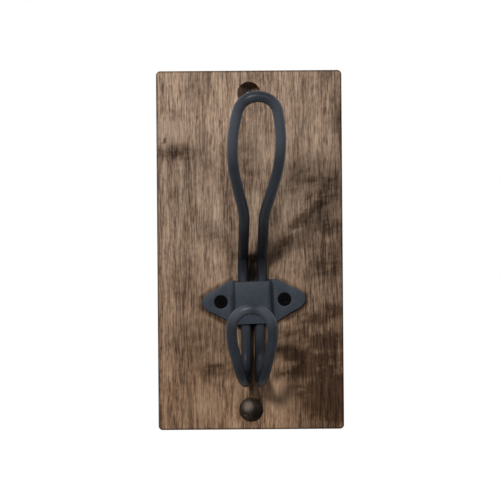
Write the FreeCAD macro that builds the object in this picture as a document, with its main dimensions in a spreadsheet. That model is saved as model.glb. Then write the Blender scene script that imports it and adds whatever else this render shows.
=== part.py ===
"""Wall hook board for a hook and ring game: a bent double-wire hook clipped to a solid wood board.

A FreeCAD 1.1 macro, in millimetres. The frame has +Z up, +X to the right as seen by someone facing
the board and +Y into the wall. The origin is the centre of the board's back face.
"""
import FreeCAD, Part
import math
import os

import Sketcher
from FreeCAD import Placement, Rotation, Vector

# Every driving size: alias, value in mm or degrees, what it sets.
SIZES = [
    # backboard
    ("board_width", 88.9, "dressed width of a 1x4 board"),
    ("board_height", 172.0, "length the board is cut to"),
    ("board_thick", 19.0, "dressed thickness"),
    ("board_corner", 2.0, "radius of the four upright corners"),
    ("board_ease", 0.8, "sanded rounding of the front edges"),
    ("back_ease", 0.5, "small chamfer of the back edges"),
    ("upper_hole_inset", 10.85, "upper wall-screw hole, from the top end"),
    ("lower_hole_inset", 9.65, "lower wall-screw hole, from the bottom end"),
    ("wall_hole_dia", 3.6, "clearance for a no. 6 wall screw"),
    ("counterbore_dia", 11.0, "recess for the wall screw's head and the plug"),
    ("counterbore_depth", 9.0, "depth of that recess"),
    # place of the hook on the board
    ("hook_x", 1.1, "hook's centre line to the right of the board's"),
    ("hook_z", -24.2, "height of the bracket screws' line"),
    # wire
    ("wire_dia", 5.0, "round steel wire, coated"),
    ("wire_seat", 0.1, "coating and play between wire and board"),
    ("neck_gap", 4.0, "clear gap between the legs above the bracket"),
    ("tail_gap", 1.4, "clear gap between the legs below the bracket"),
    ("butt_gap", 0.6, "between the wire's two ends, hidden in the bracket"),
    ("leg_bend_radius", 60.0, "gentle bends where the legs close up"),
    ("leg_close_top", 9.5, "height where the legs start to close"),
    ("leg_close_end", 14.0, "depth where they are closest"),
    # wire, upper hook, seen from the side
    ("knee_start", 14.2, "height where the wire leaves the board"),
    ("knee_radius", 11.0, "bend that turns it forward"),
    ("knee_lean_angle", 60.0, "its lean after that bend, from upright"),
    ("sweep_radius", 168.0, "long curve back towards upright"),
    ("top_lean_angle", 27.0, "lean at the top of the loop"),
    # wire, upper loop, laid flat
    ("top_loop_length", 65.5, "from the neck to the top"),
    ("top_loop_flare_angle", 11.7, "angle at which the sides part"),
    ("top_loop_shoulder_angle", 10.0, "angle at which they close towards the top"),
    ("top_loop_side_radius", 90.0, "belly of each side"),
    ("top_loop_arch_radius", 9.2, "round top"),
    ("top_loop_neck_radius", 60.0, "reverse bend at the neck"),
    ("top_loop_skew_angle", 1.7, "lean of the whole loop to the right"),
    ("top_loop_skew_start", 23.0, "length along the wire at which that lean starts"),
    # wire, lower hook, seen from the side
    ("tail_start", 23.4, "depth where the wire leaves the board"),
    ("tail_radius", 13.5, "U-shaped bend"),
    ("tail_lean_angle", 22.0, "lean of the front loop, from upright"),
    ("tail_rise", 28.5, "straight length of the front loop"),
    # wire, lower loop, laid flat
    ("tail_loop_length", 43.5, "from the neck to the tip"),
    ("tail_loop_flare_angle", 13.0, "angle at which the sides part"),
    ("tail_loop_shoulder_angle", 3.0, "angle at which they close towards the tip"),
    ("tail_loop_side_radius", 30.0, "belly of each side"),
    ("tail_loop_arch_radius", 9.4, "round tip"),
    ("tail_loop_neck_radius", 40.0, "reverse bend at the neck"),
    ("tail_loop_skew_angle", 0.5, "lean of the front loop to the left"),
    ("tail_loop_skew_start", 30.0, "length along the wire at which that lean starts"),
    # saddle bracket
    ("sheet", 1.5, "thickness of the stamped steel"),
    ("saddle_height", 20.0, "height of the ears where they leave the channel"),
    ("channel_drop", 0.95, "the channel reaches this far lower, and its roof starts as far down"),
    ("side_play", 0.45, "between the legs and the channel's walls"),
    ("roof_play", 0.1, "between the legs and the channel's roof"),
    ("bend_inside", 0.4, "inner radius of the sheet's bends"),
    ("saddle_turn_angle", 1.95, "the bracket is screwed on this far anticlockwise"),
    ("ear_shift", 0.55, "the ears' outline sits this far right of the channel"),
    ("ear_point", 26.0, "where an ear's two flanks would meet"),
    ("ear_point_radius", 3.8, "rounding of that point"),
    ("ear_cheek_x", 22.2, "outer swelling of a flank, sideways"),
    ("ear_cheek_z", 4.2, "the same, upwards"),
    ("ear_cheek_radius", 6.0, "its rounding"),
    ("ear_waist_x", 18.2, "hollow of a flank, sideways"),
    ("ear_waist_z", 5.9, "the same, upwards"),
    ("ear_waist_radius", 12.0, "its rounding"),
    ("ear_shoulder_x", 11.3, "end of the level top edge"),
    ("ear_shoulder_radius", 5.5, "its rounding"),
    ("ear_heel_radius", 0.5, "rounding of the corner below it, beside the channel's foot"),
    # bracket screws
    ("screw_pitch", 30.4, "between the two bracket screws"),
    ("screw_head_dia", 6.5, "countersunk head"),
    ("screw_shank_dia", 3.5, "no. 6 wood screw"),
    ("screw_length", 16.0, "overall"),
    ("screw_point", 4.5, "length of the taper"),
    ("screw_tip", 0.3, "radius left at the point"),
    ("screw_fit", 0.05, "radial play of the screw in its holes"),
    ("screw_sink", 0.1, "the head lies this far below the ear's face"),
    ("recess_span", 3.6, "cross recess, tip to tip"),
    ("recess_width", 1.0, "width of its arms"),
    ("recess_depth", 1.6, "its depth"),
    ("recess_turn_angle", 20.0, "the two crosses stand turned this far apart from the bracket"),
    # button plug
    ("plug_head_dia", 11.4, "dome over the lower hole"),
    ("plug_dome", 3.4, "height of the dome above the board"),
    ("plug_rim", 0.5, "upright rim below the dome"),
    ("plug_fit", 0.05, "radial play of the shank in the counterbore"),
    ("plug_shank", 6.0, "length of the shank"),
    ("plug_lead", 0.5, "chamfer at the shank's end"),
]

# The wire's centre line: spacing of the points it runs through, length of a pair of its arcs, the
# shortest run worth an edge (mm) and the smallest turn worth an arc (radians).
WIRE_STEP = 3.0
ARC_SPAN = 8.0
SHORTEST_RUN = 0.001
STRAIGHT_TURN = 0.004

# Edges are found by their place within this (mm), and by their direction from this cosine.
SAME_PLACE = 0.001
PARALLEL = 0.999

doc = FreeCAD.newDocument("HookBoard")
sheet = doc.addObject("Spreadsheet::Sheet", "Sheet")
for row, (alias, value, meaning) in enumerate(SIZES, start=1):
    sheet.set("A%d" % row, alias)
    sheet.set("B%d" % row, str(value))
    sheet.setAlias("B%d" % row, alias)
    sheet.set("C%d" % row, meaning)
doc.recompute()


def size(alias):
    return float(sheet.get(alias))


# ---------------------------------------------------------------- helpers

def origin_plane(body, role):
    return next(item for item in body.Origin.OriginFeatures if item.Role == role)


def bind(thing, **expressions):
    """Ties properties to the sheet; a double underscore stands for a dot."""
    for name, text in expressions.items():
        thing.setExpression(name.replace("__", "."), text)


def new_body(name):
    body = doc.addObject("PartDesign::Body", name)
    body.Label = name
    return body


def new_sketch(body, role, name):
    sketch = body.newObject("Sketcher::SketchObject", name)
    sketch.AttachmentSupport = (origin_plane(body, role), [""])
    sketch.MapMode = "FlatFace"
    return sketch


def centred_rectangle(sketch, width, height):
    """A rectangle round the sketch's origin, its two sides bound to expressions."""
    x, y = 10.0, 10.0
    corners = [Vector(-x, -y, 0), Vector(x, -y, 0), Vector(x, y, 0), Vector(-x, y, 0)]
    for start, end in zip(corners, corners[1:] + corners[:1]):
        sketch.addGeometry(Part.LineSegment(start, end))
    for line in range(4):
        sketch.addConstraint(Sketcher.Constraint("Coincident", line, 2, (line + 1) % 4, 1))
    for line, direction in enumerate(["Horizontal", "Vertical"] * 2):
        sketch.addConstraint(Sketcher.Constraint(direction, line))
    sketch.addConstraint(Sketcher.Constraint("Symmetric", 0, 1, 1, 2, -1, 1))
    for line, name, expression in ((0, "width", width), (1, "height", height)):
        kind = "DistanceX" if line == 0 else "DistanceY"
        index = sketch.addConstraint(Sketcher.Constraint(kind, line, 1, line, 2, 2 * x))
        sketch.renameConstraint(index, name)
        sketch.setExpression("Constraints." + name, expression)


def circle_on_axis(sketch, axis, name, diameter, before="", after=""):
    """A circle on the sketch's x or y axis, `before` the origin or `after` it by an expression."""
    sign = -1 if before else 1
    along = Vector(sign * 10, 0, 0) if axis == "x" else Vector(0, sign * 10, 0)
    circle = sketch.addGeometry(Part.Circle(along, Vector(0, 0, 1), 2.0))
    on_line = -1 if axis == "x" else -2
    sketch.addConstraint(Sketcher.Constraint("PointOnObject", circle, 3, on_line))
    kind = "DistanceX" if axis == "x" else "DistanceY"
    ends = (circle, 3, -1, 1) if before else (-1, 1, circle, 3)
    index = sketch.addConstraint(Sketcher.Constraint(kind, *ends, 10.0))
    sketch.renameConstraint(index, name + "_place")
    sketch.setExpression("Constraints." + name + "_place", before or after)
    index = sketch.addConstraint(Sketcher.Constraint("Diameter", circle, 4.0))
    sketch.renameConstraint(index, name + "_dia")
    sketch.setExpression("Constraints." + name + "_dia", diameter)


def tangent_arc(before, corner, after, radius):
    """The arc of that radius which rounds the corner of two lines that meet at an angle."""
    towards = (before - corner).normalize()
    away = (after - corner).normalize()
    turn = math.pi - towards.getAngle(away)
    tangent = radius * math.tan(turn / 2)
    middle = (towards + away).normalize() * (radius / math.cos(turn / 2) - radius)
    return Part.Arc(corner + towards * tangent, corner + middle, corner + away * tangent)


def rounded_polygon(sketch, corners):
    """A closed outline of lines and tangent arcs from (x, y, radius) corners, held in place."""
    points = [Vector(x, y, 0) for x, y, radius in corners]
    arcs = []
    for index, (x, y, radius) in enumerate(corners):
        following = points[(index + 1) % len(points)]
        arcs.append(tangent_arc(points[index - 1], points[index], following, radius))
    pieces = []
    for arc, following in zip(arcs, arcs[1:] + arcs[:1]):
        end = arc.toShape().valueAt(arc.LastParameter)
        start = following.toShape().valueAt(following.FirstParameter)
        pieces += [arc, Part.LineSegment(end, start)]
    first = sketch.addGeometry(pieces)[0]
    for index in range(len(pieces)):
        sketch.addConstraint(Sketcher.Constraint("Block", first + index))


def held_polygon(sketch, points):
    """A closed polygon of straight lines, held in place."""
    corners = [Vector(x, y, 0) for x, y in points]
    for start, end in zip(corners, corners[1:] + corners[:1]):
        line = sketch.addGeometry(Part.LineSegment(start, end))
        sketch.addConstraint(Sketcher.Constraint("Block", line))


def edges_where(feature, test):
    """Names of a feature's edges whose shape passes the test."""
    edges = feature.Shape.Edges
    return ["Edge%d" % number for number, edge in enumerate(edges, start=1) if test(edge)]


def lies_along(edge, direction):
    """Whether a straight edge runs along a direction."""
    if edge.Curve.TypeId != "Part::GeomLine":
        return False
    return abs(edge.tangentAt(edge.FirstParameter).dot(direction)) > PARALLEL


def at_depth(edge, y):
    """Whether an edge lies wholly in the plane at that y."""
    box = edge.BoundBox
    return abs(box.YMin - y) < SAME_PLACE and abs(box.YMax - y) < SAME_PLACE


def dress(body, kind, name, base, edges, length):
    """A fillet or chamfer on the named edges of a feature."""
    feature = body.newObject("PartDesign::" + kind, name)
    feature.Base = (base, edges)
    bind(feature, **{"Radius" if kind == "Fillet" else "Size": length})
    doc.recompute()
    return feature


# ---------------------------------------------------------------- backboard

def make_backboard():
    body = new_body("backboard")
    outline = new_sketch(body, "XZ_Plane", "board_outline")
    centred_rectangle(outline, "Sheet.board_width", "Sheet.board_height")
    board = body.newObject("PartDesign::Pad", "board_pad")
    board.Profile = outline
    bind(board, Length="Sheet.board_thick")
    doc.recompute()

    front = -size("board_thick")
    corners = edges_where(board, lambda edge: lies_along(edge, Vector(0, 1, 0)))
    rounded = dress(body, "Fillet", "board_corners", board, corners, "Sheet.board_corner")
    front_edges = edges_where(rounded, lambda edge: at_depth(edge, front))
    eased = dress(body, "Fillet", "front_edges", rounded, front_edges, "Sheet.board_ease")
    back_edges = edges_where(eased, lambda edge: at_depth(edge, 0))
    dress(body, "Chamfer", "back_edges", eased, back_edges, "Sheet.back_ease")

    hole_centres = new_sketch(body, "XZ_Plane", "wall_hole_centres")
    bind(hole_centres, AttachmentOffset__Base__z="Sheet.board_thick")
    circle_on_axis(
        hole_centres, "y", "upper", "Sheet.wall_hole_dia",
        after="Sheet.board_height / 2 - Sheet.upper_hole_inset",
    )
    circle_on_axis(
        hole_centres, "y", "lower", "Sheet.wall_hole_dia",
        before="Sheet.board_height / 2 - Sheet.lower_hole_inset",
    )
    doc.recompute()
    holes = body.newObject("PartDesign::Hole", "wall_holes")
    holes.Profile = hole_centres
    holes.DepthType = "ThroughAll"
    bind(holes, Diameter="Sheet.wall_hole_dia")
    holes.HoleCutType = "Counterbore"
    holes.HoleCutCustomValues = True
    bind(holes, HoleCutDiameter="Sheet.counterbore_dia", HoleCutDepth="Sheet.counterbore_depth")
    doc.recompute()

    pilots = new_sketch(body, "XZ_Plane", "pilot_centres")
    pilots.AttachmentOffset = Placement(Vector(0, 0, 1), Rotation(Vector(0, 0, 1), 1))
    bind(
        pilots,
        AttachmentOffset__Base__x="Sheet.hook_x",
        AttachmentOffset__Base__y="Sheet.hook_z",
        AttachmentOffset__Base__z="Sheet.board_thick",
        AttachmentOffset__Rotation__Angle="Sheet.saddle_turn_angle",
    )
    pilot_dia = "Sheet.screw_shank_dia + 2 * Sheet.screw_fit"
    circle_on_axis(pilots, "x", "left", pilot_dia, before="Sheet.screw_pitch / 2")
    circle_on_axis(pilots, "x", "right", pilot_dia, after="Sheet.screw_pitch / 2")
    pilot_holes = body.newObject("PartDesign::Pocket", "pilot_holes")
    pilot_holes.Profile = pilots
    bind(pilot_holes, Length="Sheet.screw_length + Sheet.screw_sink - Sheet.sheet + Sheet.screw_fit")
    doc.recompute()
    return body


# ---------------------------------------------------------------- wire hook

def side_profile(segments, length):
    """Reach and rise after a length of the wire seen from the side.

    A segment is (its length, the degrees it turns); the wire starts straight along the board.
    """
    reach = rise = heading = 0.0
    for span, turn in segments:
        step = min(length, span)
        bend = math.radians(turn) * step / span
        if bend:
            radius = step / bend
            reach += radius * (math.cos(heading) - math.cos(heading + bend))
            rise += radius * (math.sin(heading + bend) - math.sin(heading))
        else:
            reach += step * math.sin(heading)
            rise += step * math.cos(heading)
        heading += bend
        length -= step
    return reach, rise


def loop_corners(side, neck, apex, prefix):
    """Corners (half width, height, radius) of one side of a loop laid flat, from neck to arch."""
    flare = math.tan(math.radians(size(prefix + "_flare_angle")))
    shoulder = math.tan(math.radians(size(prefix + "_shoulder_angle")))
    arch_radius = size(prefix + "_arch_radius")
    arch_x = arch_radius * math.tan(math.radians(90 - size(prefix + "_shoulder_angle")) / 2)
    neck_height = apex - size(prefix + "_length")
    rise = (arch_x - neck + (apex - neck_height) * shoulder) / (flare + shoulder)
    return [
        (neck, side * neck_height, size(prefix + "_neck_radius")),
        (neck + rise * flare, side * (neck_height + rise), size(prefix + "_side_radius")),
        (arch_x, side * apex, arch_radius),
    ]


def flat_side(corners, ends):
    """One side of the flat wire, from end to end: straight runs joined by tangent arcs."""
    vertices = [Vector(*vertex[:2], 0) for vertex in [ends[0]] + corners + [ends[1]]]
    edges, place = [], vertices[0]
    for before, (x, height, radius), after in zip(vertices, corners, vertices[2:]):
        arc = tangent_arc(before, Vector(x, height, 0), after, radius).toShape()
        start = arc.valueAt(arc.FirstParameter)
        if (start - place).Length > SHORTEST_RUN:
            edges.append(Part.LineSegment(place, start).toShape())
        edges.append(arc)
        place = arc.valueAt(arc.LastParameter)
    if (vertices[-1] - place).Length > SHORTEST_RUN:
        edges.append(Part.LineSegment(place, vertices[-1]).toShape())
    return Part.Wire(edges)


def tangent_edge(start, corner, end):
    """The arc, or the line, that leaves start towards the corner and reaches end from it."""
    turn = (corner - start).getAngle(end - corner)
    if turn < STRAIGHT_TURN:
        return Part.LineSegment(start, end).toShape()
    return tangent_arc(start, corner, end, (corner - start).Length / math.tan(turn / 2)).toShape()


def smooth_path(points):
    """A wire of tangent arcs along the smooth curve through the points, two arcs to each span."""
    curve = Part.BSplineCurve()
    curve.interpolate(points)
    spans = round(curve.length() / ARC_SPAN)
    stops = [(stop, curve.tangent(curve.parameter(stop))[0]) for stop in curve.discretize(Number=spans + 1)]
    edges = []
    for (start, leaving), (end, arriving) in zip(stops, stops[1:]):
        chord, both = end - start, leaving + arriving
        bend = 2 * (1 - leaving.dot(arriving))
        along = chord.dot(both)
        leg = chord.dot(chord) / (along + math.sqrt(along**2 + bend * chord.dot(chord)))
        first, second = start + leaving * leg, end - arriving * leg
        joint = (first + second) / 2
        edges += [tangent_edge(start, first, joint), tangent_edge(joint, second, end)]
    return Part.Wire(edges)


def make_wire_hook():
    wire_radius = size("wire_dia") / 2
    neck = size("neck_gap") / 2 + wire_radius
    tail = size("tail_gap") / 2 + wire_radius

    knee_length = size("knee_radius") * math.radians(size("knee_lean_angle"))
    sweep_turn = size("knee_lean_angle") - size("top_lean_angle")
    sweep_length = size("sweep_radius") * math.radians(sweep_turn)
    upper = [(size("knee_start"), 0), (knee_length, size("knee_lean_angle")), (sweep_length, -sweep_turn)]
    tail_turn = 180 - size("tail_lean_angle")
    tail_length = size("tail_radius") * math.radians(tail_turn)
    lower = [(size("tail_start"), 0), (tail_length, tail_turn), (size("tail_rise"), 0)]

    top = sum(span for span, turn in upper)
    tip = sum(span for span, turn in lower)
    corners = loop_corners(-1, tail, tip, "tail_loop")[::-1]
    corners += [
        (tail, -size("leg_close_end"), size("leg_bend_radius")),
        (neck, size("leg_close_top"), size("leg_bend_radius")),
    ]
    corners += loop_corners(1, neck, top, "top_loop")
    flat = flat_side(corners, ((0, -tip), (0, top)))
    one_side = flat.discretize(Number=math.ceil(flat.Length / WIRE_STEP))

    top_skew = math.tan(math.radians(size("top_loop_skew_angle")))
    tail_skew = math.tan(math.radians(size("tail_loop_skew_angle")))

    def in_space(across, length):
        """Where a point of the flat wire lies once the side bends are made."""
        reach, rise = side_profile(upper if length > 0 else lower, abs(length))
        across += top_skew * max(0.0, length - size("top_loop_skew_start"))
        across -= tail_skew * max(0.0, -length - size("tail_loop_skew_start"))
        out = wire_radius + size("wire_seat") + reach
        return Vector(across, -out, math.copysign(rise, length))

    half_gap = size("butt_gap") / 2
    slope = (neck - tail) / (size("leg_close_top") + size("leg_close_end"))
    end_above = tail + slope * (size("leg_close_end") + half_gap)
    end_below = tail + slope * (size("leg_close_end") - half_gap)
    rising = [point for point in one_side if point.y > half_gap + WIRE_STEP / 2]
    hanging = [point for point in one_side if point.y < -half_gap - WIRE_STEP / 2]
    route = [in_space(end_above, half_gap)]
    route += [in_space(point.x, point.y) for point in rising]
    route += [in_space(-point.x, point.y) for point in reversed(one_side[1:-1])]
    route += [in_space(point.x, point.y) for point in hanging]
    route.append(in_space(end_below, -half_gap))

    place = Vector(size("hook_x"), -size("board_thick"), size("hook_z") - size("channel_drop"))
    path = doc.addObject("Part::Feature", "wire_path")
    path.Shape = smooth_path([point + place for point in route])
    section = doc.addObject("Part::Circle", "wire_section")
    bind(section, Radius="Sheet.wire_dia / 2")
    start = path.Shape.OrderedEdges[0]
    heading = start.tangentAt(start.FirstParameter)
    section.Placement = Placement(start.valueAt(start.FirstParameter), Rotation(Vector(0, 0, 1), heading))
    hook = doc.addObject("Part::Sweep", "wire_hook")
    hook.Label = "wire_hook"
    hook.Sections = [section]
    hook.Spine = (path, ["Edge%d" % number for number in range(1, len(path.Shape.Edges) + 1)])
    hook.Solid = True
    hook.Frenet = False
    doc.recompute()
    expected = math.pi * wire_radius**2 * path.Shape.Length
    print("wire: length %.1f mm, volume %.4f of section times length" % (
        path.Shape.Length, hook.Shape.Volume / expected))
    return hook


# ---------------------------------------------------------------- saddle bracket

def ear_outline():
    """Both ears' outline: level over the channel, a waist and a cheek down each flank, a point."""
    top, drop = size("saddle_height") / 2, size("channel_drop")
    shoulder_x, waist_x, waist_z = size("ear_shoulder_x"), size("ear_waist_x"), size("ear_waist_z")
    flank = (waist_x - shoulder_x) / (top - waist_z)
    heel = (shoulder_x - flank * drop, -top - drop, size("ear_heel_radius"))
    waist = (waist_x, waist_z, size("ear_waist_radius"))
    cheek = (size("ear_cheek_x"), size("ear_cheek_z"), size("ear_cheek_radius"))
    point = (size("ear_point"), 0, size("ear_point_radius"))
    right = [(shoulder_x, top, size("ear_shoulder_radius")), waist, cheek, point]
    right += [(x, -z, radius) for x, z, radius in (cheek, waist)]
    right.append(heel)
    whole = right + [(-x, z, radius) for x, z, radius in reversed(right)]
    return [(x + size("ear_shift"), z, radius) for x, z, radius in whole]


def on_bracket(thing):
    """Places a body in the bracket's frame: on the board's face, turned with the bracket."""
    thing.Placement = Placement(Vector(0, 0, 0), Rotation(Vector(0, -1, 0), 1))
    bind(
        thing,
        Placement__Base__x="Sheet.hook_x",
        Placement__Base__y="-Sheet.board_thick",
        Placement__Base__z="Sheet.hook_z",
        Placement__Rotation__Angle="Sheet.saddle_turn_angle",
    )


def make_saddle_bracket():
    body = new_body("saddle_bracket")
    ears = new_sketch(body, "XZ_Plane", "ear_outline")
    rounded_polygon(ears, ear_outline())
    plate = body.newObject("PartDesign::Pad", "ear_plate")
    plate.Profile = ears
    bind(plate, Length="Sheet.sheet")

    inner_width = "(Sheet.neck_gap + 2 * Sheet.wire_dia + 2 * Sheet.side_play)"
    inner_depth = "(Sheet.wire_dia + Sheet.wire_seat + Sheet.roof_play)"
    face = new_sketch(body, "XZ_Plane", "channel_face")
    bind(face, AttachmentOffset__Base__y="-Sheet.channel_drop / 2")
    channel_height = "Sheet.saddle_height + Sheet.channel_drop"
    centred_rectangle(face, inner_width + " + 2 * Sheet.sheet", channel_height)
    channel = body.newObject("PartDesign::Pad", "channel")
    channel.Profile = face
    bind(channel, Length=inner_depth + " + Sheet.sheet")
    tunnel_face = new_sketch(body, "XZ_Plane", "tunnel_face")
    centred_rectangle(tunnel_face, inner_width, "2 * Sheet.saddle_height")
    tunnel = body.newObject("PartDesign::Pocket", "tunnel")
    tunnel.Profile = tunnel_face
    tunnel.Reversed = True
    bind(tunnel, Length=inner_depth)
    doc.recompute()

    upright = Vector(0, 0, 1)
    roof = size("wire_dia") + size("wire_seat") + size("roof_play")
    outer = roof + size("sheet")
    foot = size("sheet")
    half = size("neck_gap") / 2 + size("wire_dia") + size("side_play")

    def bend_lines(base, x, y):
        return edges_where(base, lambda edge: lies_along(edge, upright)
                           and abs(abs(edge.CenterOfMass.x) - x) < SAME_PLACE
                           and abs(edge.CenterOfMass.y + y) < SAME_PLACE)

    inside, outside = "Sheet.bend_inside", "Sheet.bend_inside + Sheet.sheet"
    step = dress(body, "Fillet", "roof_inside", tunnel, bend_lines(tunnel, half, roof), inside)
    outer_lines = bend_lines(step, half + size("sheet"), outer)
    step = dress(body, "Fillet", "roof_outside", step, outer_lines, outside)
    foot_lines = bend_lines(step, half + size("sheet"), foot)
    step = dress(body, "Fillet", "foot_outside", step, foot_lines, inside)
    step = dress(body, "Fillet", "foot_inside", step, bend_lines(step, half, 0), outside)

    top = size("saddle_height") / 2
    mouth = new_sketch(body, "YZ_Plane", "sloping_mouth")
    bend_start, roof_top = -foot - size("bend_inside"), top - size("channel_drop")
    clear_front, clear_top = -outer - foot, top + foot
    held_polygon(mouth, [
        (bend_start, top), (-outer, roof_top), (clear_front, roof_top), (clear_front, clear_top),
        (bend_start, clear_top),
    ])
    slope = body.newObject("PartDesign::Pocket", "mouth_slope")
    slope.Profile = mouth
    slope.Midplane = True
    bind(slope, Length="4 * " + inner_width)
    doc.recompute()

    screw_centres = new_sketch(body, "XZ_Plane", "screw_centres")
    bind(screw_centres, AttachmentOffset__Base__z="Sheet.sheet")
    hole_dia = "Sheet.screw_shank_dia + 2 * Sheet.screw_fit"
    circle_on_axis(screw_centres, "x", "left", hole_dia, before="Sheet.screw_pitch / 2")
    circle_on_axis(screw_centres, "x", "right", hole_dia, after="Sheet.screw_pitch / 2")
    doc.recompute()
    holes = body.newObject("PartDesign::Hole", "countersinks")
    holes.Profile = screw_centres
    holes.DepthType = "ThroughAll"
    bind(holes, Diameter=hole_dia)
    holes.HoleCutType = "Countersink"
    holes.HoleCutCustomValues = True
    holes.HoleCutCountersinkAngle = 90
    bind(holes, HoleCutDiameter="Sheet.screw_head_dia + 2 * (Sheet.screw_fit + Sheet.screw_sink)")
    doc.recompute()
    on_bracket(body)
    return body


# ---------------------------------------------------------------- bracket screws

def make_bracket_screw(side, direction):
    """A countersunk wood screw with a cross recess, its axis along -Y through the ear."""
    body = new_body("bracket_screw_" + side)
    head, shank = size("screw_head_dia") / 2, size("screw_shank_dia") / 2
    length, point = size("screw_length"), size("screw_point")
    profile = new_sketch(body, "XY_Plane", side + "_screw_profile")
    held_polygon(profile, [
        (0, 0), (head, 0), (shank, head - shank), (shank, length - point),
        (size("screw_tip"), length), (0, length),
    ])
    turned = body.newObject("PartDesign::Revolution", side + "_screw_turned")
    turned.Profile = profile
    turned.ReferenceAxis = (profile, ["V_Axis"])
    turned.Angle = 360
    doc.recompute()
    for arm, (width, height) in enumerate((("recess_span", "recess_width"), ("recess_width", "recess_span"))):
        cross = new_sketch(body, "XZ_Plane", "%s_recess_arm_%d" % (side, arm))
        centred_rectangle(cross, "Sheet." + width, "Sheet." + height)
        slot = body.newObject("PartDesign::Pocket", "%s_recess_%d" % (side, arm))
        slot.Profile = cross
        bind(slot, Length="Sheet.recess_depth")
        doc.recompute()
    turn = math.radians(size("saddle_turn_angle"))
    reach = direction * size("screw_pitch") / 2
    body.Placement = Placement(
        Vector(
            size("hook_x") + reach * math.cos(turn),
            -size("board_thick") - size("sheet") + size("screw_sink"),
            size("hook_z") + reach * math.sin(turn),
        ),
        Rotation(Vector(0, -1, 0), size("saddle_turn_angle") + direction * size("recess_turn_angle")),
    )
    return body


# ---------------------------------------------------------------- button plug

def make_button_plug():
    body = new_body("button_plug")
    head = size("plug_head_dia") / 2
    shank = size("counterbore_dia") / 2 - size("plug_fit")
    length, lead = size("plug_shank"), size("plug_lead")
    rim, dome = size("plug_rim"), size("plug_dome")
    sagitta = dome - rim
    radius = (head**2 + sagitta**2) / (2 * sagitta)
    crown = Vector(0, -dome, 0)
    halfway = math.asin(head / radius) / 2
    shoulder = Vector(radius * math.sin(halfway), radius * (1 - math.cos(halfway)) - dome, 0)
    profile = new_sketch(body, "XY_Plane", "plug_profile")
    outline = [(0, -dome), (0, length), (shank - lead, length), (shank, length - lead), (shank, 0),
               (head, 0), (head, -rim)]
    corners = [Vector(x, y, 0) for x, y in outline]
    pieces = [Part.LineSegment(start, end) for start, end in zip(corners, corners[1:])]
    pieces.append(Part.Arc(corners[-1], shoulder, crown))
    profile.addGeometry(pieces)
    for index in range(len(pieces)):
        profile.addConstraint(Sketcher.Constraint("Block", index))
    turned = body.newObject("PartDesign::Revolution", "plug_turned")
    turned.Profile = profile
    turned.ReferenceAxis = (profile, ["V_Axis"])
    turned.Angle = 360
    bind(
        body,
        Placement__Base__y="-Sheet.board_thick",
        Placement__Base__z="Sheet.lower_hole_inset - Sheet.board_height / 2",
    )
    doc.recompute()
    return body


# ---------------------------------------------------------------- build, check, write

parts = [
    make_backboard(),
    make_wire_hook(),
    make_saddle_bracket(),
    make_bracket_screw("left", -1),
    make_bracket_screw("right", 1),
    make_button_plug(),
]
doc.recompute()

for thing in doc.Objects:
    if "Invalid" in thing.State or "Error" in thing.State:
        raise RuntimeError("%s failed: %s" % (thing.Name, thing.State))
for part in parts:
    shape = part.Shape
    if shape.isNull() or not shape.isValid() or len(shape.Solids) != 1:
        raise RuntimeError("%s is not one valid solid" % part.Label)

os.makedirs("parts", exist_ok=True)
for part in parts:
    part.Shape.exportStep("parts/%s.step" % part.Label)
    box = part.Shape.BoundBox
    print("%-20s volume %10.1f  x %7.2f %7.2f  y %7.2f %7.2f  z %7.2f %7.2f" % (
        part.Label, part.Shape.Volume, box.XMin, box.XMax, box.YMin, box.YMax, box.ZMin, box.ZMax))
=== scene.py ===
"""Dresses the hook board: stained birch, a powder-coated wire hook and stamping, black screws.

A Blender 4.5 script in metres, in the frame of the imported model: +Z up, +X to the right as seen
from the front, +Y into the wall, origin at the centre of the board's back face.
"""
import math

import bpy
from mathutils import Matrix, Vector


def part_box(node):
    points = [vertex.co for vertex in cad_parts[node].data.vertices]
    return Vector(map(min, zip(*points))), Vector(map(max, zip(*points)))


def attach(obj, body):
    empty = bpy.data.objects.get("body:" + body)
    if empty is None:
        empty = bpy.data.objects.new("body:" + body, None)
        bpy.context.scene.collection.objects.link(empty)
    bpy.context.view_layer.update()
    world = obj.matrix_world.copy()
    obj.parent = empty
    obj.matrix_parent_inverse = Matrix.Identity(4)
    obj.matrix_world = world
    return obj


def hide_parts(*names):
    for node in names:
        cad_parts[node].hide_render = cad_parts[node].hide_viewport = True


bl_info = {
    "name": "Hook board",
    "version": (1, 0, 0),
    "blender": (4, 5, 0),
    "location": "3D View > Sidebar > Hook Board",
    "description": "Dresses the hook board of a hook and ring game in stained wood and powder coat",
    "category": "Object",
}

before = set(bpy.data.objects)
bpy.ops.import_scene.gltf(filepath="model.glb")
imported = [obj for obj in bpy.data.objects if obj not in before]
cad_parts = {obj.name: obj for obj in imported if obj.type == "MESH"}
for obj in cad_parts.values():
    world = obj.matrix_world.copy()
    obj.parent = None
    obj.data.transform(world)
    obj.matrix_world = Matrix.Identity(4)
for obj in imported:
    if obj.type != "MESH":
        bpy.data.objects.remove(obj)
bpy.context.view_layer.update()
BOARD_LOW, BOARD_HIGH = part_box("backboard")
PLUG_LOW, PLUG_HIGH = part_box("button_plug")
MM = 0.001


# ---------------------------------------------------------------- colours and nodes

def linear(hex_colour):
    """A hex sRGB colour as linear red, green, blue and alpha."""
    channels = [int(hex_colour[place:place + 2], 16) / 255 for place in (1, 3, 5)]
    return [c / 12.92 if c <= 0.04045 else ((c + 0.055) / 1.055) ** 2.4 for c in channels] + [1.0]


WHITE = linear("#ffffff")
# A Mix node's colour sockets share their names with others, so they are told by number.
MIX_A, MIX_B, MIX_RESULT = 6, 7, 2


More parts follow.
